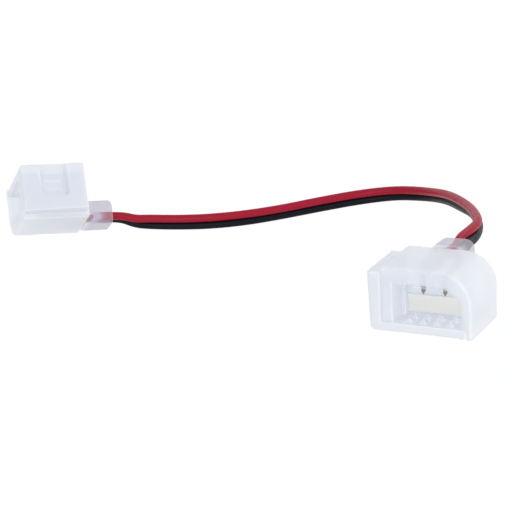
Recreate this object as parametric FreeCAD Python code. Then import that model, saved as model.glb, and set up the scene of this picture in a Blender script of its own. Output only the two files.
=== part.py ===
import FreeCAD, Part
import math
import os

from FreeCAD import Vector

# LED strip connector lead: two identical clip-on end connectors, moulded in milky plastic,
# joined by a short two-core cable. All lengths are millimetres and +Z is up.
#
# A connector is drawn in its own frame: X runs from left to right looking into the mouth,
# Y runs from the mouth to the rear, Z runs from the clamp plate up to the roof.

# Outer form of one connector
BODY_WIDTH = 17.4
BODY_LENGTH = 13.3
BODY_HEIGHT = 10.8
SHOULDER_RADIUS = 5.5
EDGE_RADIUS = 0.35

# Clamp jaw, an L of a bottom plate and a latching side column that flares towards the rear.
# The jaw ends at the rear lip of the housing and its column ends below the roof.
REAR_LIP = 0.6
PLATE_THICKNESS = 1.5
COLUMN_THICKNESS = 2.05
COLUMN_DROP = 1.0
COLUMN_FRONT_INSET = 0.15
COLUMN_REAR_FLARE = 0.4
COLUMN_LEAN = 0.35
JAW_CORNER_RADIUS = 1.0
JAW_FRONT_RADIUS = 0.6
SPLIT_GAP = 0.1
RECESS_DEPTH = 0.9
RECESS_FRONT = 3.7
RECESS_REAR = 8.7
RECESS_TOP = 6.9
RECESS_CORNER_RADIUS = 0.9
RECESS_BEVEL = 0.55
GRIP_RIB_COUNT = 3
GRIP_RIB_HEIGHT = 0.1
GRIP_RIB_WIDTH = 0.6
GRIP_RIB_PITCH = 1.6

# Teeth that bite into the sleeve of the strip
TOOTH_COLUMNS = 4
TOOTH_ROWS = 2
TOOTH_PITCH_X = 2.33
TOOTH_PITCH_Y = 2.3
TOOTH_BASE = 1.5
TOOTH_HEIGHT = 0.95
FIRST_TOOTH_Y = 1.7

# Hinge along the lower right edge, a bead turning in a groove
HINGE_RADIUS = 0.75
HINGE_CLEARANCE = 0.05
HINGE_WALL = 0.9

# Mouth
LEFT_WALL = 2.0
RIGHT_WALL = 1.75
ROOF_THICKNESS = 2.5
MOUTH_DEPTH = 7.2
GUIDE_STEP = 0.5
GUIDE_START = 4.4

# Contact carrier, a block that hangs under the roof with the piercing pins
CARRIER_MIDDLE = 9.65
CARRIER_WIDTH = 7.4
CARRIER_HEIGHT = 3.4
CARRIER_COVER = 0.9
CARRIER_FRONT = 3.8
CARRIER_CLEARANCE = 0.03

# Strain relief on the rear of the carrier, a bar with rounded corners that stands above the roof
RELIEF_MIDDLE = 8.7
RELIEF_WIDTH = 6.2
RELIEF_HEIGHT = 5.15
RELIEF_RISE = 0.35
RELIEF_CORNER_RADIUS = 1.6
RELIEF_LENGTH = 5.8
RELIEF_END_RADIUS = 0.7

# Cores of the cable, under the top of the strain relief
CORE_DEPTH = 2.05
CORE_DIAMETER = 1.65
CORE_SPACING = 1.75
CORE_BORE_CLEARANCE = 0.04
CORE_INSIDE = 3.8
STRAND_DIAMETER = 0.8

# Piercing contacts
CONTACT_SPACING = 3.7
CONTACT_WIDTH = 1.3
PIN_WIDTH = 0.65
CONTACT_THICKNESS = 0.35
PIN_Y = 4.5
PIN_LENGTH = 1.1
PIN_TIP_LENGTH = 0.6
CRIMP_INSET = 0.5
CRIMP_LENGTH = 2.4
CRIMP_HEIGHT = 1.3
CRIMP_WALL = 0.25
CONTACT_CLEARANCE = 0.03

# Pad that seals against the end of the strip
PAD_THICKNESS = 1.2
PAD_HEIGHT = 2.8
PAD_LEFT_GAP = 0.05
PAD_RIGHT_GAP = 0.6
PAD_FLOOR_GAP = 0.3

# Places of the two connectors on the table
RIGHT_X = 38.751
RIGHT_Y = -21.864
LEFT_X = -45.038
LEFT_Y = 2.716
LEFT_TURN = -43.9
LEFT_ROLL = 148.6
LEFT_PITCH = -5.0

# Route of the cable, from the left strain relief to the right one. Each point gives the middle
# of the pair and the angle of the red core above the horizontal, on the side nearer the front.
ROUTE = [
    (-34.52, 17.51, 3.40, 31.0),
    (-32.86, 19.23, 3.19, 31.0),
    (-30.20, 20.35, 2.12, 56.0),
    (-27.50, 21.73, 1.88, 75.0),
    (-22.77, 23.32, 1.72, 75.0),
    (-16.28, 25.61, 1.78, 79.5),
    (-9.85, 29.48, 2.01, 80.5),
    (-3.73, 34.35, 2.50, 72.5),
    (2.78, 39.59, 3.35, 77.0),
    (9.96, 44.05, 4.32, 75.0),
    (16.78, 46.10, 5.13, 65.5),
    (22.33, 44.94, 5.65, 63.0),
    (27.16, 41.85, 6.39, 56.0),
    (31.92, 36.32, 7.49, 66.0),
    (36.37, 30.08, 8.25, 72.0),
    (41.19, 23.09, 8.92, 58.0),
    (44.86, 15.20, 9.55, 74.0),
    (46.93, 9.51, 9.69, 92.0),
    (47.23, 4.88, 9.52, 62.0),
    (47.08, 1.21, 9.46, 30.5),
    (47.45, -0.90, 9.10, 0.0),
    (47.45, -2.76, 9.10, 0.0),
]


def box(x0, x1, y0, y1, z0, z1):
    return Part.makeBox(x1 - x0, y1 - y0, z1 - z0, Vector(x0, y0, z0))


def extrude_profile(edges, y0, y1):
    """Closed profile drawn at Y = 0, turned into a prism from y0 to y1."""
    face = Part.Face(Part.Wire(edges))
    prism = face.extrude(Vector(0, y1 - y0, 0))
    prism.translate(Vector(0, y0, 0))
    return prism


def line(a, b):
    return Part.LineSegment(Vector(a[0], 0, a[1]), Vector(b[0], 0, b[1])).toShape()


def arc(a, middle, b):
    return Part.Arc(Vector(a[0], 0, a[1]), Vector(middle[0], 0, middle[1]), Vector(b[0], 0, b[1])).toShape()


def on_circle(centre, radius, degrees):
    angle = math.radians(degrees)
    return (centre[0] + radius * math.cos(angle), centre[1] + radius * math.sin(angle))


def rod(start, end, radius):
    axis = end - start
    return Part.makeCylinder(radius, axis.Length, start, axis)


# Sizes that follow from the driving ones
JAW_LENGTH = BODY_LENGTH - REAR_LIP - SPLIT_GAP
COLUMN_HEIGHT = BODY_HEIGHT - COLUMN_DROP
MOUTH_CEILING = BODY_HEIGHT - ROOF_THICKNESS
CARRIER_TOP = BODY_HEIGHT - CARRIER_COVER
CARRIER_BOTTOM = CARRIER_TOP - CARRIER_HEIGHT
RELIEF_TOP = BODY_HEIGHT + RELIEF_RISE
RELIEF_BOTTOM = RELIEF_TOP - RELIEF_HEIGHT
CORE_LEVEL = RELIEF_TOP - CORE_DEPTH
CORE_END_Y = BODY_LENGTH + RELIEF_LENGTH - CORE_INSIDE
CRIMP_REAR = BODY_LENGTH - CRIMP_INSET
CRIMP_FRONT = CRIMP_REAR - CRIMP_LENGTH
HOUSING_LEFT = COLUMN_THICKNESS + SPLIT_GAP
HOUSING_REAR_LIP = JAW_LENGTH + SPLIT_GAP
HOUSING_FLOOR = PLATE_THICKNESS + SPLIT_GAP
MOUTH_LEFT = HOUSING_LEFT + LEFT_WALL
MOUTH_RIGHT = BODY_WIDTH - RIGHT_WALL
MOUTH_MIDDLE = (MOUTH_LEFT + MOUTH_RIGHT) / 2
HINGE_X = BODY_WIDTH - HINGE_WALL - HINGE_RADIUS
HINGE_Z = HINGE_RADIUS
CONTACT_SIDES = {"red": -1, "black": 1}


def make_housing():
    """Upper shell: flat roof, big rounded right shoulder, open mouth, closed rear."""
    width, height, radius = BODY_WIDTH, BODY_HEIGHT, SHOULDER_RADIUS
    centre = (width - radius, height - radius)
    groove = HINGE_RADIUS + HINGE_CLEARANCE
    groove_left = HINGE_X - groove
    outer = [
        line((HOUSING_LEFT, HOUSING_FLOOR), (HOUSING_LEFT, height)),
        line((HOUSING_LEFT, height), (width - radius, height)),
        arc((width - radius, height), on_circle(centre, radius, 45), (width, height - radius)),
        line((width, height - radius), (width, 0)),
        line((width, 0), (HINGE_X, 0)),
        line((HINGE_X, 0), (HINGE_X, HOUSING_FLOOR)),
        line((HINGE_X, HOUSING_FLOOR), (HOUSING_LEFT, HOUSING_FLOOR)),
    ]
    shell = extrude_profile(outer, 0, BODY_LENGTH)
    fillet_edges = [edge for edge in shell.Edges if is_outer_edge(edge)]
    shell = shell.makeFillet(EDGE_RADIUS, fillet_edges)
    rear_lip = box(HOUSING_LEFT, HINGE_X, HOUSING_REAR_LIP, BODY_LENGTH, 0, HOUSING_FLOOR)
    shell = shell.fuse(rear_lip)

    inner_radius = radius - RIGHT_WALL
    ceiling = MOUTH_CEILING
    bend = (MOUTH_RIGHT - inner_radius, ceiling - inner_radius)
    mouth = [
        line((MOUTH_LEFT, 0), (MOUTH_LEFT, ceiling)),
        line((MOUTH_LEFT, ceiling), (bend[0], ceiling)),
        arc((bend[0], ceiling), on_circle(bend, inner_radius, 45), (MOUTH_RIGHT, bend[1])),
        line((MOUTH_RIGHT, bend[1]), (MOUTH_RIGHT, HOUSING_FLOOR)),
        line((MOUTH_RIGHT, HOUSING_FLOOR), (groove_left, HOUSING_FLOOR)),
        line((groove_left, HOUSING_FLOOR), (groove_left, 0)),
        line((groove_left, 0), (MOUTH_LEFT, 0)),
    ]
    shell = shell.cut(extrude_profile(mouth, 0, MOUTH_DEPTH))
    guide_rear = MOUTH_DEPTH - PAD_THICKNESS
    guide = box(MOUTH_LEFT, MOUTH_LEFT + GUIDE_STEP, GUIDE_START, guide_rear, HOUSING_FLOOR, ceiling)
    shell = shell.fuse(guide)
    hinge_groove = Part.makeCylinder(groove, HOUSING_REAR_LIP, Vector(HINGE_X, 0, HINGE_Z), Vector(0, 1, 0))
    swing_room = box(HINGE_X, HINGE_X + groove, 0, HOUSING_REAR_LIP, 0, HINGE_Z)
    shell = shell.cut(hinge_groove.fuse(swing_room))
    pocket = box(
        CARRIER_MIDDLE - CARRIER_WIDTH / 2 - CARRIER_CLEARANCE,
        CARRIER_MIDDLE + CARRIER_WIDTH / 2 + CARRIER_CLEARANCE,
        CARRIER_FRONT - CARRIER_CLEARANCE,
        BODY_LENGTH,
        CARRIER_BOTTOM - CARRIER_CLEARANCE,
        CARRIER_TOP + CARRIER_CLEARANCE,
    )
    return shell.cut(pocket).removeSplitter()


def is_outer_edge(edge):
    """Front and rear rims of the roof and shoulder, which are softly rounded."""
    box_of_edge = edge.BoundBox
    across = box_of_edge.YLength < 1e-6
    at_rim = box_of_edge.YMin < 1e-6 or box_of_edge.YMax > BODY_LENGTH - 1e-6
    on_top = box_of_edge.ZMin > BODY_HEIGHT - 1e-6
    on_shoulder = box_of_edge.ZLength > 1 and box_of_edge.XLength > 1
    on_side = box_of_edge.XMin > BODY_WIDTH - 1e-6
    return across and at_rim and (on_top or on_shoulder or on_side)


def make_tooth(x, y):
    """Four-sided pyramid standing on the clamp plate."""
    half = TOOTH_BASE / 2
    corners = [
        Vector(x - half, y - half, PLATE_THICKNESS),
        Vector(x + half, y - half, PLATE_THICKNESS),
        Vector(x + half, y + half, PLATE_THICKNESS),
        Vector(x - half, y + half, PLATE_THICKNESS),
    ]
    tip = Vector(x, y, PLATE_THICKNESS + TOOTH_HEIGHT)
    faces = [Part.Face(Part.makePolygon(corners + corners[:1]))]
    for index in range(4):
        first = corners[index]
        second = corners[(index + 1) % 4]
        faces.append(Part.Face(Part.makePolygon([first, second, tip, first])))
    return Part.makeSolid(Part.makeShell(faces))


def column_face_x(y):
    """Outer face of the column at one depth: it flares out from the mouth to the rear."""
    return COLUMN_FRONT_INSET - (COLUMN_FRONT_INSET + COLUMN_REAR_FLARE) * y / JAW_LENGTH


def make_recess():
    """Thumb recess in the outer face of the column, open at the bottom, bevelled at the rear."""
    front, rear, top = RECESS_FRONT, RECESS_REAR, RECESS_TOP
    radius = RECESS_CORNER_RADIUS
    corner = radius * (1 - math.sqrt(0.5))
    middle_x = column_face_x((front + rear) / 2)

    def outline(x, rear_shift):
        back = rear + rear_shift
        points = [Vector(x, front, -1), Vector(x, front, top - radius), Vector(x, front + radius, top)]
        points += [Vector(x, back - radius, top), Vector(x, back, top - radius), Vector(x, back, -1)]
        front_middle = Vector(x, front + corner, top - corner)
        back_middle = Vector(x, back - corner, top - corner)
        return Part.Wire([
            Part.LineSegment(points[0], points[1]).toShape(),
            Part.Arc(points[1], front_middle, points[2]).toShape(),
            Part.LineSegment(points[2], points[3]).toShape(),
            Part.Arc(points[3], back_middle, points[4]).toShape(),
            Part.LineSegment(points[4], points[5]).toShape(),
            Part.LineSegment(points[5], points[0]).toShape(),
        ])

    floor_x = middle_x + RECESS_DEPTH
    outside_x = middle_x - RECESS_DEPTH
    return Part.makeLoft([outline(floor_x, 0), outline(outside_x, 2 * RECESS_BEVEL)], True)


def jaw_section(y):
    """Outline of the jaw at one depth, an L with a rounded outer corner and a column that leans out."""
    radius = JAW_CORNER_RADIUS
    face_x = column_face_x(y)
    centre = (face_x + radius, radius)
    edges = [
        line((face_x, radius), (face_x - COLUMN_LEAN, COLUMN_HEIGHT)),
        line((face_x - COLUMN_LEAN, COLUMN_HEIGHT), (COLUMN_THICKNESS, COLUMN_HEIGHT)),
        line((COLUMN_THICKNESS, COLUMN_HEIGHT), (COLUMN_THICKNESS, PLATE_THICKNESS)),
        line((COLUMN_THICKNESS, PLATE_THICKNESS), (HINGE_X, PLATE_THICKNESS)),
        line((HINGE_X, PLATE_THICKNESS), (HINGE_X, 0)),
        line((HINGE_X, 0), (face_x + radius, 0)),
        arc((face_x + radius, 0), on_circle(centre, radius, 225), (face_x, radius)),
    ]
    wire = Part.Wire(edges)
    wire.translate(Vector(0, y, 0))
    return wire


def is_jaw_front_edge(edge):
    """Front rim of the outer side and underside of the jaw."""
    box_of_edge = edge.BoundBox
    outside = box_of_edge.XMax < COLUMN_FRONT_INSET + JAW_CORNER_RADIUS + 1e-6
    return box_of_edge.YMax < 1e-6 and (outside or box_of_edge.ZMax < 1e-6)


def make_jaw():
    """Clamp jaw: toothed plate under the strip, latch column up the left side, hinge bead right."""
    jaw = Part.makeLoft([jaw_section(0), jaw_section(JAW_LENGTH)], True, True)
    jaw = jaw.makeFillet(JAW_FRONT_RADIUS, [edge for edge in jaw.Edges if is_jaw_front_edge(edge)])
    bead = Part.makeCylinder(HINGE_RADIUS, JAW_LENGTH, Vector(HINGE_X, 0, HINGE_Z), Vector(0, 1, 0))
    jaw = jaw.fuse(bead)
    jaw = jaw.cut(make_recess())

    ribs = []
    rib_length = RECESS_REAR - RECESS_FRONT - 2 * RECESS_CORNER_RADIUS
    recess_floor_x = column_face_x((RECESS_FRONT + RECESS_REAR) / 2) + RECESS_DEPTH
    rib_x = recess_floor_x + GRIP_RIB_WIDTH / 2 - GRIP_RIB_HEIGHT
    for index in range(GRIP_RIB_COUNT):
        rib_z = RECESS_TOP - RECESS_CORNER_RADIUS - GRIP_RIB_PITCH * (index + 0.5)
        rib = Part.makeCylinder(
            GRIP_RIB_WIDTH / 2,
            rib_length,
            Vector(rib_x, RECESS_FRONT + RECESS_CORNER_RADIUS, rib_z),
            Vector(0, 1, 0),
        )
        ribs.append(rib)

    teeth = []
    tooth_left = MOUTH_MIDDLE - TOOTH_PITCH_X * (TOOTH_COLUMNS - 1) / 2
    for row in range(TOOTH_ROWS):
        for column in range(TOOTH_COLUMNS):
            teeth.append(make_tooth(tooth_left + column * TOOTH_PITCH_X, FIRST_TOOTH_Y + row * TOOTH_PITCH_Y))
    return jaw.fuse(ribs + teeth).removeSplitter()


def make_relief():
    """Bar behind the housing that grips the cable, with rounded corners and a soft end."""
    radius = RELIEF_CORNER_RADIUS
    left = RELIEF_MIDDLE - RELIEF_WIDTH / 2
    right = RELIEF_MIDDLE + RELIEF_WIDTH / 2
    rear = BODY_LENGTH + RELIEF_LENGTH
    relief = box(left, right, BODY_LENGTH, rear, RELIEF_BOTTOM, RELIEF_TOP)
    long_edges = [edge for edge in relief.Edges if edge.BoundBox.YLength > RELIEF_LENGTH - 1e-6]
    relief = relief.makeFillet(radius, long_edges)
    end_edges = [edge for edge in relief.Edges if edge.BoundBox.YMin > rear - 1e-6]
    return relief.makeFillet(RELIEF_END_RADIUS, end_edges)


def core_x(side):
    return RELIEF_MIDDLE + side * CORE_SPACING / 2


def contact_x(side):
    return CARRIER_MIDDLE + side * CONTACT_SPACING / 2


def make_core(side, extra=0.0):
    """Insulated end of one core, held in the strain relief."""
    start = Vector(core_x(side), CORE_END_Y, CORE_LEVEL)
    end = Vector(core_x(side), BODY_LENGTH + RELIEF_LENGTH, CORE_LEVEL)
    return rod(start, end, CORE_DIAMETER / 2 + extra)


def make_strand(side, extra=0.0):
    """Stripped conductor, from the end of the core into the crimp."""
    start = Vector(core_x(side), CORE_END_Y, CORE_LEVEL)
    bend = Vector(contact_x(side), CRIMP_REAR, CORE_LEVEL)
    end = Vector(contact_x(side), CRIMP_FRONT, CORE_LEVEL)
    radius = STRAND_DIAMETER / 2 + extra
    slanted = rod(start, bend, radius)
    cap = Part.makeSphere(radius, bend)
    straight = rod(bend, end, radius)
    strand = slanted.fuse([cap, straight])
    behind = box(0, BODY_WIDTH, CORE_END_Y, CORE_END_Y + BODY_LENGTH, 0, 2 * BODY_HEIGHT)
    return strand.cut(behind).removeSplitter()


def make_contact(side):
    """Bent metal contact: crimp round the strands, flat arm, piercing pin pointing down."""
    x = contact_x(side)
    half = CONTACT_WIDTH / 2
    strand_radius = STRAND_DIAMETER / 2
    low = CORE_LEVEL - strand_radius - CRIMP_WALL
    crimp = box(x - half, x + half, CRIMP_FRONT, CRIMP_REAR, low, low + CRIMP_HEIGHT)
    bore = Part.makeCylinder(
        strand_radius, CRIMP_LENGTH, Vector(x, CRIMP_FRONT, CORE_LEVEL), Vector(0, 1, 0)
    )
    slot = box(
        x - CRIMP_WALL / 2, x + CRIMP_WALL / 2, CRIMP_FRONT, CRIMP_REAR,
        CORE_LEVEL, low + CRIMP_HEIGHT,
    )
    crimp = crimp.cut(bore.fuse(slot))
    arm = box(x - half, x + half, PIN_Y, CRIMP_FRONT, low, low + CONTACT_THICKNESS)
    tip_z = CARRIER_BOTTOM - PIN_LENGTH
    shoulder_z = tip_z + PIN_TIP_LENGTH
    pin_half = PIN_WIDTH / 2
    corners = [
        Vector(x - pin_half, PIN_Y, low + CONTACT_THICKNESS),
        Vector(x + pin_half, PIN_Y, low + CONTACT_THICKNESS),
        Vector(x + pin_half, PIN_Y, shoulder_z),
        Vector(x, PIN_Y, tip_z),
        Vector(x - pin_half, PIN_Y, shoulder_z),
    ]
    blade = Part.Face(Part.makePolygon(corners + corners[:1])).extrude(Vector(0, CONTACT_THICKNESS, 0))
    return crimp.fuse([arm, blade]).removeSplitter()


def make_contact_seat(side):
    """Space in the carrier for one contact, open at the underside for its pin."""
    x = contact_x(side)
    half = CONTACT_WIDTH / 2 + CONTACT_CLEARANCE
    low = CORE_LEVEL - STRAND_DIAMETER / 2 - CRIMP_WALL
    crimp_top = low + CRIMP_HEIGHT + CONTACT_CLEARANCE
    crimp_room = box(x - half, x + half, CRIMP_FRONT, CRIMP_REAR, low, crimp_top)
    front = PIN_Y - CONTACT_CLEARANCE
    arm_room = box(x - half, x + half, front, CRIMP_FRONT, low, low + CONTACT_THICKNESS + CONTACT_CLEARANCE)
    rear = PIN_Y + CONTACT_THICKNESS + CONTACT_CLEARANCE
    pin_half = PIN_WIDTH / 2 + CONTACT_CLEARANCE
    pin_room = box(x - pin_half, x + pin_half, front, rear, 0, low)
    return crimp_room.fuse([arm_room, pin_room])


def make_carrier():
    """Contact carrier: tongue under the roof with the strain relief behind it."""
    tongue = box(
        CARRIER_MIDDLE - CARRIER_WIDTH / 2,
        CARRIER_MIDDLE + CARRIER_WIDTH / 2,
        CARRIER_FRONT,
        BODY_LENGTH,
        CARRIER_BOTTOM,
        CARRIER_TOP,
    )
    carrier = tongue.fuse(make_relief())
    spaces = []
    for side in CONTACT_SIDES.values():
        spaces.append(make_core(side, CORE_BORE_CLEARANCE))
        spaces.append(make_strand(side, CONTACT_CLEARANCE))
        spaces.append(make_contact_seat(side))
    for space in spaces:
        carrier = carrier.cut(space)
    return carrier.removeSplitter()


def make_pad():
    """Soft pad against the rear wall of the mouth, which the end of the strip meets."""
    left = MOUTH_LEFT + PAD_LEFT_GAP
    right = MOUTH_RIGHT - PAD_RIGHT_GAP
    low = HOUSING_FLOOR + PAD_FLOOR_GAP
    return box(left, right, MOUTH_DEPTH - PAD_THICKNESS, MOUTH_DEPTH, low, low + PAD_HEIGHT)


def connector_pieces():
    pieces = {
        "housing": make_housing(),
        "jaw": make_jaw(),
        "carrier": make_carrier(),
        "seal_pad": make_pad(),
    }
    for colour, side in CONTACT_SIDES.items():
        pieces["contact_" + colour] = make_contact(side)
        pieces["core_" + colour] = make_core(side)
        pieces["strand_" + colour] = make_strand(side)
    return pieces


def place_right(shape):
    """Upright on the table, mouth towards the front."""
    placed = shape.copy()
    placed.translate(Vector(RIGHT_X, RIGHT_Y, 0))
    return placed


def place_left(shape):
    """Rolled over until the rear end of its rounded shoulder rests on the table, mouth to the left."""
    roll = math.radians(LEFT_ROLL)
    pitch = math.radians(LEFT_PITCH)
    shoulder_x = BODY_WIDTH - SHOULDER_RADIUS
    shoulder_z = BODY_HEIGHT - SHOULDER_RADIUS
    rise_x = -math.sin(roll) * math.cos(pitch)
    rise_y = math.sin(pitch)
    rise_z = math.cos(roll) * math.cos(pitch)
    centre_level = rise_x * shoulder_x + rise_y * BODY_LENGTH + rise_z * shoulder_z
    lowest = centre_level - SHOULDER_RADIUS * math.hypot(rise_x, rise_z)
    placed = shape.copy()
    placed.rotate(Vector(0, 0, 0), Vector(0, 1, 0), LEFT_ROLL)
    placed.rotate(Vector(0, 0, 0), Vector(1, 0, 0), LEFT_PITCH)
    placed.rotate(Vector(0, 0, 0), Vector(0, 0, 1), LEFT_TURN)
    placed.translate(Vector(LEFT_X, LEFT_Y, -lowest))
    return placed


def core_route(side):
    """Points of one core: the middle of the pair moved sideways by half the core spacing."""
    points = []
    last = len(ROUTE) - 1
    for index, (x, y, z, degrees) in enumerate(ROUTE):
        before = ROUTE[max(index - 1, 0)]
        after = ROUTE[min(index + 1, last)]
        if index == 1:
            after = ROUTE[1]
        if index == last - 1:
            before = ROUTE[last - 1]
        run = (Vector(*after[:3]) - Vector(*before[:3])).normalize()
        near = Vector(run.y, -run.x, 0).normalize()
        angle = math.radians(degrees)
        towards_red = near * math.cos(angle) + near.cross(run) * math.sin(angle)
        points.append(Vector(x, y, z) - towards_red * (side * CORE_SPACING / 2))
    return points


def corner_radius(before, corner, after):
    """Arc as large as the two runs allow, and how far from the corner it starts."""
    into = corner - before
    out = after - corner
    turn = into.getAngle(out)
    reach = 0.45 * min(into.Length, out.Length)
    return reach / math.tan(turn / 2), reach


def tube_along(points, diameter):
    """Round tube on straight runs joined by tangent arcs."""
    edges = []
    radii = []
    start = points[0]
    for before, corner, after in zip(points, points[1:], points[2:]):
        radius, reach = corner_radius(before, corner, after)
        into = (corner - before).normalize()
        out = (after - corner).normalize()
        arc_start = corner - into * reach
        arc_end = corner + out * reach
        to_centre = (out - into).normalize()
        half_turn = into.getAngle(out) / 2
        middle = corner + to_centre * (radius / math.cos(half_turn) - radius)
        edges.append(Part.LineSegment(start, arc_start).toShape())
        edges.append(Part.Arc(arc_start, middle, arc_end).toShape())
        start = arc_end
        radii.append(radius)
    edges.append(Part.LineSegment(start, points[-1]).toShape())
    path = Part.Wire(edges)
    first_run = points[1] - points[0]
    ring = Part.Wire(Part.makeCircle(diameter / 2, points[0], first_run))
    tube = path.makePipeShell([ring], True, False)
    return tube, path.Length, radii


def main():
    os.makedirs("parts", exist_ok=True)
    solids = {}
    for name, shape in connector_pieces().items():
        solids[name + "_a"] = place_left(shape)
        solids[name + "_b"] = place_right(shape)
    for colour, side in CONTACT_SIDES.items():
        tube, length, radii = tube_along(core_route(side), CORE_DIAMETER)
        expected = math.pi * CORE_DIAMETER ** 2 / 4 * length
        rounded = [round(radius, 1) for radius in radii]
        print(colour, "core length", round(length, 1), "volume", round(tube.Volume, 2), "of", round(expected, 2))
        print(colour, "core bend radii", rounded)
        solids["wire_" + colour] = tube
    for name, shape in solids.items():
        if not shape.isValid() or len(shape.Solids) != 1:
            print("check", name, shape.isValid(), len(shape.Solids))
        shape.exportStep("parts/" + name + ".step")


main()
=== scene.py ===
import math

import bpy
from mathutils import Matrix, Vector


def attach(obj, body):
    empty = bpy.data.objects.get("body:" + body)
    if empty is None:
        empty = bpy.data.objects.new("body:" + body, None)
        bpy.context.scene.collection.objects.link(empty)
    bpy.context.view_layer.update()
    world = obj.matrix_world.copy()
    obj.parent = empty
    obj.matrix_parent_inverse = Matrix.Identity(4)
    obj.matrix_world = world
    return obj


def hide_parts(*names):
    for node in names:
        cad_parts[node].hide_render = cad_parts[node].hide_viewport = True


# Looks of the LED strip connector lead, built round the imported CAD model. Lengths are metres.
MM = 0.001

# Camera, as fitted to the photograph
CAMERA_AZIMUTH = math.radians(27.418)
CAMERA_ELEVATION = math.radians(15.63)
CAMERA_ROLL = math.radians(-2.83)
CAMERA_PLACE = (0.12988, -0.23855, 0.08065)
CAMERA_LENS = 108.64
CAMERA_SENSOR = 36.0
CAMERA_SHIFT = (0.0086, -0.0132)
CAMERA_NEAR = 0.01
CAMERA_FAR = 10.0
IMAGE_SIZE = 505
SAMPLES = 192

# Both connectors have the same pieces
CONNECTORS = ("a", "b")

# Free cores of the cable, which touch each other
CORE_DIAMETER = 1.65 * MM
CORE_SPACING = 1.64 * MM
CORE_SIDES = {"red": -1, "black": 1}

# Route of the cable in millimetres, from the left strain relief to the right one. Each point
# gives the middle of the pair and the angle of the red core above the horizontal.
ROUTE = [
    (-34.52, 17.51, 3.40, 31.0),
    (-32.86, 19.23, 3.19, 31.0),
    (-30.20, 20.35, 2.12, 56.0),
    (-27.50, 21.73, 1.88, 75.0),
    (-22.77, 23.32, 1.72, 75.0),
    (-16.28, 25.61, 1.78, 79.5),
    (-9.85, 29.48, 2.01, 80.5),
    (-3.73, 34.35, 2.50, 72.5),
    (2.78, 39.59, 3.35, 77.0),
    (9.96, 44.05, 4.32, 75.0),
    (16.78, 46.10, 5.13, 65.5),
    (22.33, 44.94, 5.65, 63.0),
    (27.16, 41.85, 6.39, 56.0),
    (31.92, 36.32, 7.49, 66.0),
    (36.37, 30.08, 8.25, 72.0),
    (41.19, 23.09, 8.92, 58.0),
    (44.86, 15.20, 9.55, 74.0),
    (46.93, 9.51, 9.69, 92.0),
    (47.23, 4.88, 9.52, 62.0),
    (47.08, 1.21, 9.46, 30.5),
    (47.45, -0.90, 9.10, 0.0),
    (47.45, -2.76, 9.10, 0.0),
]

# Milky plastic. Its body scatters light, and part of the surface is seen through, less so where it
# is seen at a slant. Its glow is painted light, an emission that stands in for light gathered
# inside, and it grows into a painted highlight along the rounded edges.
MILK_COLOUR = (0.77, 0.79, 0.84, 1.0)
# The jaw is the housing's milk made darker, as painted shade.
JAW_SHADED_COLOUR = (0.71, 0.73, 0.79, 1.0)
PAD_COLOUR = (0.82, 0.785, 0.71, 1.0)
MILK_TINT = (0.94, 0.955, 0.98, 1.0)
MILK_INDEX = 1.42
MILK_SHINE = 0.2
MILK_ROUGHNESS = (0.32, 0.44)
MILK_GRAIN = 260.0
MILK_BUMP = 0.12
MILK_BUMP_DEPTH = 0.2 * MM
MILK_EDGE_RADIUS = 0.4 * MM
MILK_PAINTED_GLOW = 0.12
EDGE_PAINTED_HIGHLIGHT = 0.28
FULL_EDGE = 0.75
SLANT_BLEND = 0.35
SLANT_CLEARNESS = 0.35
LIGHT_PASS = 0.85

# The strain relief is painted greyer and duller than the rest of the carrier, as painted shade where
# the cable runs inside it, up to these distances from where the cable leaves it
RELIEF_NEAR = 5.0 * MM
RELIEF_FAR = 8.0 * MM
RELIEF_SHADED_COLOUR = (0.54, 0.525, 0.58, 1.0)
RELIEF_SHADED_TINT = (0.81, 0.795, 0.845, 1.0)
RELIEF_SHADED_GLOW = (0.40, 0.39, 0.425, 1.0)

# The cores fade into the milk of the strain relief between these distances from their exit, and glow
# with painted light
HELD_CLEAR = 1.8 * MM
HELD_FADED = 3.4 * MM
HELD_FAR = (0.90, 0.84, 0.88, 1.0)
HELD_PAINTED_GLOW = 0.32
HELD_ROUGHNESS = 0.4

# Metal and insulation
FINE_GRAIN = 600.0
FINE_BUMP = 0.1
FINE_BUMP_DEPTH = 0.1 * MM
FINE_EDGE_RADIUS = 0.05 * MM
ROUGHNESS_SPREAD = 0.05
METAL_ROUGHNESS = 0.35
INSULATION_ROUGHNESS = 0.42

# Dome that lights the object, greyer on the left than on the right
WHITE = (1.0, 1.0, 1.0, 1.0)
DOME_LEFT = (0.82, 0.84, 0.88, 1.0)
DOME_LEFT_END = 0.25
DOME_RIGHT_START = 0.8
DOME_STRENGTH = 0.67

# Soft boxes: name, place, target, side length and power in watts
LAMPS = [
    ("front", (0.10, -0.50, 0.10), (0.03, -0.01, 0.005), 0.3, 0.65),
    ("side", (0.42, -0.12, 0.12), (0.03, 0.0, 0.0), 0.3, 0.3),
    ("bend", (0.08, 0.10, 0.12), (0.04, 0.03, 0.008), 0.06, 0.025),
]


def node_tree(name):
    """Empty node material, its tree and a helper that adds nodes to it."""
    material = bpy.data.materials.new(name)
    material.use_nodes = True
    tree = material.node_tree
    tree.nodes.clear()

    def add(kind, **settings):
        node = tree.nodes.new(kind)
        for key, value in settings.items():
            setattr(node, key, value)
        return node

    return material, tree, add


def uneven(tree, add, scale, low, high):
    """Value that wanders softly between low and high across the piece, and the noise behind it."""
    coordinates = add("ShaderNodeTexCoord")
    noise = add("ShaderNodeTexNoise")
    noise.inputs["Scale"].default_value = scale
    noise.inputs["Detail"].default_value = 3.0
    spread = add("ShaderNodeMapRange")
    spread.inputs["From Min"].default_value = 0.3
    spread.inputs["From Max"].default_value = 0.7
    spread.inputs["To Min"].default_value = low
    spread.inputs["To Max"].default_value = high
    tree.links.new(coordinates.outputs["Object"], noise.inputs["Vector"])
    tree.links.new(noise.outputs["Fac"], spread.inputs["Value"])
    return spread.outputs["Result"], noise.outputs["Fac"]


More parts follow.
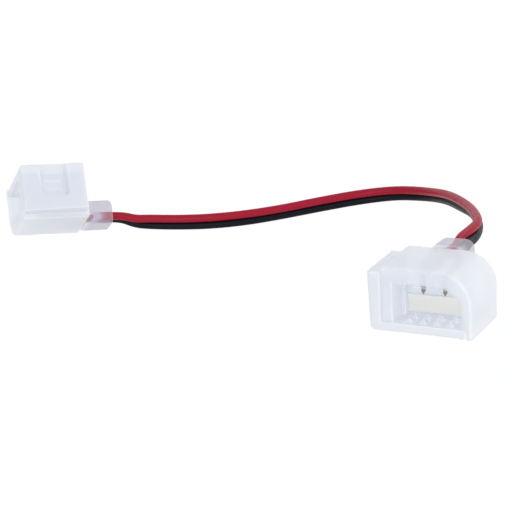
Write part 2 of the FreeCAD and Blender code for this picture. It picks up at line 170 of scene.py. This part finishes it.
def soft_normal(tree, add, height, strength, distance, edge_radius):
    """Surface normal with softly rounded edges and a faint texture, and the same without texture."""
    bevel = add("ShaderNodeBevel", samples=6)
    bevel.inputs["Radius"].default_value = edge_radius
    bump = add("ShaderNodeBump")
    bump.inputs["Strength"].default_value = strength
    bump.inputs["Distance"].default_value = distance
    tree.links.new(height, bump.inputs["Height"])
    tree.links.new(bevel.outputs["Normal"], bump.inputs["Normal"])
    return bump.outputs["Normal"], bevel.outputs["Normal"]


def away_from_exits(tree, add, start, end):
    """0 up to one distance from where the cable leaves a strain relief, 1 from another onwards."""
    place = add("ShaderNodeNewGeometry")
    nearest = add("ShaderNodeMath", operation="MINIMUM")
    for index, exit_point in enumerate((ROUTE[0], ROUTE[-1])):
        away = add("ShaderNodeVectorMath", operation="DISTANCE")
        away.inputs[1].default_value = Vector(exit_point[:3]) * MM
        tree.links.new(place.outputs["Position"], away.inputs[0])
        tree.links.new(away.outputs["Value"], nearest.inputs[index])
    fade = add("ShaderNodeMapRange", interpolation_type="SMOOTHSTEP")
    fade.inputs["From Min"].default_value = start
    fade.inputs["From Max"].default_value = end
    tree.links.new(nearest.outputs["Value"], fade.inputs["Value"])
    return fade.outputs["Result"]


def blend(tree, add, factor, near, far):
    """Colour that changes from near to far as the factor goes from 0 to 1."""
    mixed = add("ShaderNodeMix", data_type="RGBA")
    mixed.inputs["A"].default_value = near
    mixed.inputs["B"].default_value = far
    tree.links.new(factor, mixed.inputs["Factor"])
    return mixed.outputs["Result"]


def painted_edge_glow(tree, add, round_normal, glow):
    """Strength of the painted glow, which grows into a painted edge highlight where the rounded
    normal leaves the flat one.
    """
    sides = add("ShaderNodeNewGeometry")
    turn = add("ShaderNodeVectorMath", operation="DOT_PRODUCT")
    strength = add("ShaderNodeMapRange")
    strength.inputs["From Min"].default_value = 1.0
    strength.inputs["From Max"].default_value = FULL_EDGE
    strength.inputs["To Min"].default_value = MILK_PAINTED_GLOW * glow
    strength.inputs["To Max"].default_value = EDGE_PAINTED_HIGHLIGHT * glow
    tree.links.new(round_normal, turn.inputs[0])
    tree.links.new(sides.outputs["True Normal"], turn.inputs[1])
    tree.links.new(turn.outputs["Value"], strength.inputs["Value"])
    return strength.outputs["Result"]


def seen_through(tree, add, clear):
    """Part of the surface that is seen through.

    The camera sees through the given part face on. Light passes more freely, and a surface seen
    from its inside hides nothing.
    """
    slant = add("ShaderNodeLayerWeight")
    slant.inputs["Blend"].default_value = SLANT_BLEND
    clearness = add("ShaderNodeMapRange")
    clearness.inputs["To Min"].default_value = clear
    clearness.inputs["To Max"].default_value = clear * SLANT_CLEARNESS
    path = add("ShaderNodeLightPath")
    light = add("ShaderNodeMapRange")
    light.inputs["To Min"].default_value = LIGHT_PASS
    light.inputs["To Max"].default_value = 0.0
    passing = add("ShaderNodeMath", operation="MAXIMUM")
    sides = add("ShaderNodeNewGeometry")
    outwards = add("ShaderNodeMath", operation="MAXIMUM")
    tree.links.new(slant.outputs["Facing"], clearness.inputs["Value"])
    tree.links.new(path.outputs["Is Camera Ray"], light.inputs["Value"])
    tree.links.new(light.outputs["Result"], passing.inputs[0])
    tree.links.new(clearness.outputs["Result"], passing.inputs[1])
    tree.links.new(passing.outputs["Value"], outwards.inputs[0])
    tree.links.new(sides.outputs["Backfacing"], outwards.inputs[1])
    return outwards.outputs["Value"]


def milky_plastic(name, colour, clear, depth, glow=1.0, holds_cable=False):
    """Translucent moulding: clear is the part seen through, depth how far light spreads inside, glow
    the scale of its painted glow.
    """
    material, tree, add = node_tree(name)
    rough, height = uneven(tree, add, MILK_GRAIN, *MILK_ROUGHNESS)
    normal, round_normal = soft_normal(
        tree, add, height, MILK_BUMP, MILK_BUMP_DEPTH, MILK_EDGE_RADIUS
    )
    surface = add("ShaderNodeBsdfPrincipled")
    surface.inputs["Base Color"].default_value = colour
    surface.inputs["IOR"].default_value = MILK_INDEX
    surface.inputs["Specular IOR Level"].default_value = MILK_SHINE
    surface.inputs["Subsurface Weight"].default_value = 1.0
    surface.inputs["Subsurface Scale"].default_value = depth
    surface.inputs["Subsurface Radius"].default_value = (1.0, 1.0, 1.0)
    surface.inputs["Emission Color"].default_value = MILK_TINT
    clear_part = add("ShaderNodeBsdfTransparent")
    clear_part.inputs["Color"].default_value = MILK_TINT
    if holds_cable:
        # Near the cable exits the colour, see-through tint and glow are darkened as painted shade.
        factor = away_from_exits(tree, add, RELIEF_NEAR, RELIEF_FAR)
        shade = blend(tree, add, factor, RELIEF_SHADED_COLOUR, colour)
        glow_colour = blend(tree, add, factor, RELIEF_SHADED_GLOW, MILK_TINT)
        tint = blend(tree, add, factor, RELIEF_SHADED_TINT, MILK_TINT)
        tree.links.new(shade, surface.inputs["Base Color"])
        tree.links.new(glow_colour, surface.inputs["Emission Color"])
        tree.links.new(tint, clear_part.inputs["Color"])
    body = add("ShaderNodeMixShader")
    output = add("ShaderNodeOutputMaterial")
    tree.links.new(painted_edge_glow(tree, add, round_normal, glow), surface.inputs["Emission Strength"])
    tree.links.new(rough, surface.inputs["Roughness"])
    tree.links.new(normal, surface.inputs["Normal"])
    tree.links.new(seen_through(tree, add, clear), body.inputs["Fac"])
    tree.links.new(surface.outputs["BSDF"], body.inputs[1])
    tree.links.new(clear_part.outputs["BSDF"], body.inputs[2])
    tree.links.new(body.outputs["Shader"], output.inputs["Surface"])
    return material


def fine_surface(tree, add, roughness):
    """Opaque surface with slightly uneven roughness, joined to the output."""
    low = roughness - ROUGHNESS_SPREAD
    high = roughness + ROUGHNESS_SPREAD
    rough, height = uneven(tree, add, FINE_GRAIN, low, high)
    normal = soft_normal(tree, add, height, FINE_BUMP, FINE_BUMP_DEPTH, FINE_EDGE_RADIUS)[0]
    surface = add("ShaderNodeBsdfPrincipled")
    output = add("ShaderNodeOutputMaterial")
    tree.links.new(rough, surface.inputs["Roughness"])
    tree.links.new(normal, surface.inputs["Normal"])
    tree.links.new(surface.outputs["BSDF"], output.inputs["Surface"])
    return surface


def solid_finish(name, colour, roughness, metallic=0.0, shine=0.5):
    """Metal or insulation of one colour."""
    material, tree, add = node_tree(name)
    surface = fine_surface(tree, add, roughness)
    surface.inputs["Base Color"].default_value = colour
    surface.inputs["Metallic"].default_value = metallic
    surface.inputs["Specular IOR Level"].default_value = shine
    return material


def held_core(name, colour):
    """Core inside the strain relief, which fades into the milk away from its exit and glows with
    painted light.
    """
    material, tree, add = node_tree(name)
    factor = away_from_exits(tree, add, HELD_CLEAR, HELD_FADED)
    shade = blend(tree, add, factor, colour, HELD_FAR)
    surface = fine_surface(tree, add, HELD_ROUGHNESS)
    surface.inputs["Emission Strength"].default_value = HELD_PAINTED_GLOW
    tree.links.new(shade, surface.inputs["Base Color"])
    tree.links.new(shade, surface.inputs["Emission Color"])
    return material


def make_materials():
    """Finish of every kind of piece."""
    return {
        # Every moulding glows with painted light. The carrier's painted glow is the strongest, and
        # the pad's is a little above the housing's.
        "housing": milky_plastic("milky_housing", MILK_COLOUR, clear=0.24, depth=2.5 * MM),
        "jaw": milky_plastic("milky_jaw_painted_shade", JAW_SHADED_COLOUR, clear=0.22, depth=2.5 * MM),
        "carrier": milky_plastic(
            "clear_carrier", MILK_COLOUR, clear=0.7, depth=1.5 * MM, glow=2.2, holds_cable=True
        ),
        "seal_pad": milky_plastic("beige_pad", PAD_COLOUR, clear=0.2, depth=1.5 * MM, glow=1.1),
        "contact": solid_finish(
            "bronze_contact", (0.27, 0.23, 0.20, 1.0), METAL_ROUGHNESS, metallic=0.8
        ),
        "strand": solid_finish(
            "copper_strand", (0.72, 0.38, 0.24, 1.0), METAL_ROUGHNESS, metallic=1.0
        ),
        "red": solid_finish(
            "red_insulation", (0.39, 0.006, 0.03, 1.0), INSULATION_ROUGHNESS, shine=0.2
        ),
        "black": solid_finish(
            "black_insulation", (0.004, 0.005, 0.009, 1.0), INSULATION_ROUGHNESS, shine=0.12
        ),
        # The held cores are painted lighter than the free insulation as painted light, and the black
        # one is painted light grey.
        "held_red": held_core("red_in_relief_painted_light", (0.62, 0.015, 0.06, 1.0)),
        "held_black": held_core("black_in_relief_painted_light", (0.42, 0.37, 0.42, 1.0)),
    }


def dress_nodes(nodes, materials):
    """Gives every CAD node of both connectors its finish."""
    finishes = {"housing": "housing", "jaw": "jaw", "carrier": "carrier", "seal_pad": "seal_pad"}
    for colour in CORE_SIDES:
        finishes["contact_" + colour] = "contact"
        finishes["strand_" + colour] = "strand"
        finishes["core_" + colour] = "held_" + colour
    for connector in CONNECTORS:
        for piece, finish in finishes.items():
            data = nodes[piece + "_" + connector].data
            data.materials.clear()
            data.materials.append(materials[finish])


def core_points(side):
    """Control points of one core: the middle of the pair moved sideways by half the spacing."""
    points = []
    last = len(ROUTE) - 1
    for index, (x, y, z, degrees) in enumerate(ROUTE):
        # Next to each end, the core keeps the direction in which it leaves the strain relief
        before = ROUTE[index] if index == last - 1 else ROUTE[max(index - 1, 0)]
        after = ROUTE[index] if index == 1 else ROUTE[min(index + 1, last)]
        run = (Vector(after[:3]) - Vector(before[:3])).normalized()
        near = Vector((run.y, -run.x, 0)).normalized()
        angle = math.radians(degrees)
        towards_red = near * math.cos(angle) + near.cross(run) * math.sin(angle)
        points.append(Vector((x, y, z)) * MM - towards_red * (side * CORE_SPACING / 2))
    return points


def make_core(colour, material):
    """Free core of the cable between the two strain reliefs."""
    points = core_points(CORE_SIDES[colour])
    data = bpy.data.curves.new("cable_" + colour, "CURVE")
    data.dimensions = "3D"
    data.bevel_depth = CORE_DIAMETER / 2
    data.bevel_resolution = 8
    data.use_fill_caps = True
    spline = data.splines.new("NURBS")
    spline.points.add(len(points) - 1)
    for point, place in zip(spline.points, points):
        point.co = (*place, 1.0)
    spline.order_u = 3
    spline.use_endpoint_u = True
    spline.resolution_u = 16
    data.materials.append(material)
    core = bpy.data.objects.new("cable_" + colour, data)
    bpy.context.scene.collection.objects.link(core)
    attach(core, "root")
    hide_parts("wire_" + colour)


def make_camera():
    """Camera at the photograph's viewpoint."""
    right = Vector((math.cos(CAMERA_AZIMUTH), math.sin(CAMERA_AZIMUTH), 0))
    back = Vector((
        math.sin(CAMERA_AZIMUTH) * math.cos(CAMERA_ELEVATION),
        -math.cos(CAMERA_AZIMUTH) * math.cos(CAMERA_ELEVATION),
        math.sin(CAMERA_ELEVATION),
    ))
    up = back.cross(right)
    across = right * math.cos(CAMERA_ROLL) + up * math.sin(CAMERA_ROLL)
    upwards = up * math.cos(CAMERA_ROLL) - right * math.sin(CAMERA_ROLL)
    turned = Matrix((across, upwards, back)).transposed().to_4x4()
    data = bpy.data.cameras.new("camera")
    data.lens = CAMERA_LENS
    data.sensor_width = CAMERA_SENSOR
    data.shift_x, data.shift_y = CAMERA_SHIFT
    data.clip_start = CAMERA_NEAR
    data.clip_end = CAMERA_FAR
    camera = bpy.data.objects.new("camera", data)
    camera.matrix_world = Matrix.Translation(CAMERA_PLACE) @ turned
    bpy.context.scene.collection.objects.link(camera)
    bpy.context.scene.camera = camera


def make_world():
    """White surroundings that are seen and mirrored, and the softer dome that lights the object."""
    world = bpy.data.worlds.new("studio")
    world.use_nodes = True
    tree = world.node_tree
    tree.nodes.clear()
    coordinates = tree.nodes.new("ShaderNodeTexCoord")
    split = tree.nodes.new("ShaderNodeSeparateXYZ")
    ramp = tree.nodes.new("ShaderNodeValToRGB")
    left, right = ramp.color_ramp.elements
    left.position = DOME_LEFT_END
    left.color = DOME_LEFT
    right.position = DOME_RIGHT_START
    right.color = WHITE
    sideways = tree.nodes.new("ShaderNodeMapRange")
    sideways.inputs["From Min"].default_value = -1.0
    sideways.inputs["From Max"].default_value = 1.0
    dome = tree.nodes.new("ShaderNodeBackground")
    dome.inputs["Strength"].default_value = DOME_STRENGTH
    plain = tree.nodes.new("ShaderNodeBackground")
    plain.inputs["Color"].default_value = WHITE
    plain.inputs["Strength"].default_value = 1.0
    path = tree.nodes.new("ShaderNodeLightPath")
    seen = path.outputs["Is Camera Ray"]
    for kind in ("Is Glossy Ray", "Is Transmission Ray"):
        either = tree.nodes.new("ShaderNodeMath")
        either.operation = "MAXIMUM"
        tree.links.new(seen, either.inputs[0])
        tree.links.new(path.outputs[kind], either.inputs[1])
        seen = either.outputs["Value"]
    choice = tree.nodes.new("ShaderNodeMixShader")
    output = tree.nodes.new("ShaderNodeOutputWorld")
    tree.links.new(coordinates.outputs["Generated"], split.inputs["Vector"])
    tree.links.new(split.outputs["X"], sideways.inputs["Value"])
    tree.links.new(sideways.outputs["Result"], ramp.inputs["Fac"])
    tree.links.new(ramp.outputs["Color"], dome.inputs["Color"])
    tree.links.new(seen, choice.inputs["Fac"])
    tree.links.new(dome.outputs["Background"], choice.inputs[1])
    tree.links.new(plain.outputs["Background"], choice.inputs[2])
    tree.links.new(choice.outputs["Shader"], output.inputs["Surface"])
    bpy.context.scene.world = world


def make_lamp(name, place, target, size, power):
    """White soft box that faces the target."""
    data = bpy.data.lights.new(name, "AREA")
    data.shape = "SQUARE"
    data.size = size
    data.energy = power
    lamp = bpy.data.objects.new(name, data)
    lamp.location = place
    lamp.rotation_mode = "QUATERNION"
    lamp.rotation_quaternion = (Vector(target) - Vector(place)).to_track_quat("-Z", "Y")
    bpy.context.scene.collection.objects.link(lamp)


def set_up_render():
    """Image size, plain view transform and enough bounces for light inside the milky plastic."""
    scene = bpy.context.scene
    scene.render.engine = "CYCLES"
    scene.render.resolution_x = IMAGE_SIZE
    scene.render.resolution_y = IMAGE_SIZE
    scene.render.resolution_percentage = 100
    scene.view_settings.view_transform = "Standard"
    scene.view_settings.look = "None"
    scene.cycles.samples = SAMPLES
    scene.cycles.use_denoising = True
    scene.cycles.max_bounces = 12
    scene.cycles.diffuse_bounces = 6
    scene.cycles.transparent_max_bounces = 24


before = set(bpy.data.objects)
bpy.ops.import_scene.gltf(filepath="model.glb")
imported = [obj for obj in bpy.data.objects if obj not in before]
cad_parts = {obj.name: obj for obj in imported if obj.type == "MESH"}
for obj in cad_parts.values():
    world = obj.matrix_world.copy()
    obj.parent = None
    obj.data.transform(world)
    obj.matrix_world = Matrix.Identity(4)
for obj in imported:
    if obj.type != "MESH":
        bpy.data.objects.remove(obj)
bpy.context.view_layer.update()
materials = make_materials()
dress_nodes(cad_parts, materials)
for colour in CORE_SIDES:
    make_core(colour, materials[colour])
make_camera()
make_world()
for lamp in LAMPS:
    make_lamp(*lamp)
set_up_render()
